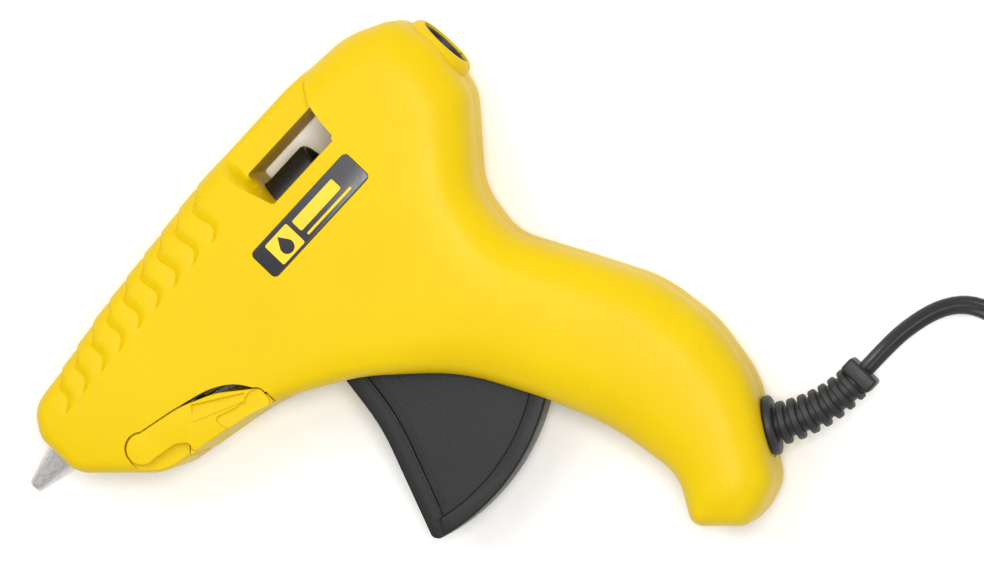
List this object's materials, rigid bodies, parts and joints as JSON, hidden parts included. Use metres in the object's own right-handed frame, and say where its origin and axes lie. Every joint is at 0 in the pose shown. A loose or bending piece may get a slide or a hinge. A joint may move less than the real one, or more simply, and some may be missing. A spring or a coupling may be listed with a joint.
{
  "type": "glue gun",
  "caption": "Corded hot-melt glue gun with a two-part housing, trigger-driven stick feed, aluminium nozzle, open feed window, fold-out stand and mains cord.",
  "frame": {"origin": "centre of the underside of the gun's own box as it lies on its right flank, cord left out", "axes": "+X along the barrel toward the rear glue-stick inlet, +Y from the handle toward the top strap, +Z from the right flank up to the left flank"},
  "size_m": [0.276, 0.2372, 0.038],
  "materials": {
    "body_plastic": "satin yellow ABS",
    "black_plastic": "matt black nylon",
    "trigger_plastic": "fine-textured black ABS",
    "label_dark": "gloss printed film",
    "label_silver": "silver printed film",
    "nozzle_aluminium": "turned and blasted",
    "cast_aluminium": "as cast",
    "screw_steel": "zinc plated",
    "spring_steel": "bright drawn",
    "ceramic": "fired ceramic",
    "copper": "sheet copper",
    "polyimide_film": "amber film",
    "phenolic": "moulded phenolic",
    "silicone": "moulded silicone",
    "cord_pvc": "extruded PVC",
    "clamp_nylon": "natural nylon",
    "glass_braid": "braided glass fibre",
    "relief_rubber": "moulded matt PVC",
    "plug_pvc": "moulded PVC",
    "brass_nickel": "nickel plated brass"
  },
  "bodies": {
    "gun": {"housing_left": "body_plastic", "housing_right": "body_plastic", "housing_screws": "screw_steel", "label_left": "label_dark", "label_right": "label_silver", "nozzle": "nozzle_aluminium", "valve_ball": "screw_steel", "valve_spring": "spring_steel", "melting_chamber": "cast_aluminium", "heater_element": "ceramic", "heater_electrodes": "copper", "heater_insulation": "polyimide_film", "heater_clip": "spring_steel", "chamber_supports": "phenolic", "inlet_sleeve": "silicone", "sleeve_ring": "spring_steel", "guide_sleeve": "black_plastic", "trigger_pin": "screw_steel", "cord_sheath": "cord_pvc", "cord_clamp": "clamp_nylon", "clamp_screws": "screw_steel", "lead_wires": "cord_pvc", "wire_crimps": "screw_steel", "wire_sleeves": "glass_braid", "strain_relief": "relief_rubber", "cord": "cord_pvc", "cord_coil": "cord_pvc", "cord_tail": "cord_pvc", "plug_body": "plug_pvc", "plug_blades": "brass_nickel"},
    "trigger": {"trigger": "trigger_plastic"},
    "carriage": {"feed_carriage": "black_plastic", "drive_pin": "screw_steel", "return_spring": "spring_steel"},
    "gripper": {"gripper_jaw": "spring_steel"},
    "stand": {"stand": "body_plastic"}
  },
  "joints": [
    {"name": "trigger_pull", "type": "hinge", "parent": "gun", "child": "trigger", "pos_m": [-0.00382, 0.0279, 0.019], "axis": [0, 0, 1], "range_deg": [0, 28], "stiffness_Nm_per_rad": 0.12, "springref_deg": -20.05},
    {"name": "carriage_feed", "type": "slide", "parent": "gun", "child": "carriage", "axis": [-1, 0, 0], "range_m": [0, 0.01089], "deforming": ["return_spring"]},
    {"name": "gripper_bite", "type": "hinge", "parent": "carriage", "child": "gripper", "pos_m": [0.00162, 0.0497, 0.019], "axis": [0, 0, -1], "range_deg": [0, 8]},
    {"name": "stand_fold", "type": "hinge", "parent": "gun", "child": "stand", "pos_m": [-0.05762, 0.0462, 0.019], "axis": [0, 0, -1], "range_deg": [0, 80]}
  ],
  "couplings": [
    {"joint": "carriage_feed", "follows": "trigger_pull", "m_per_rad": 0.022244},
    {"joint": "gripper_bite", "follows": "trigger_pull", "ratio": 0.2856}
  ]
}
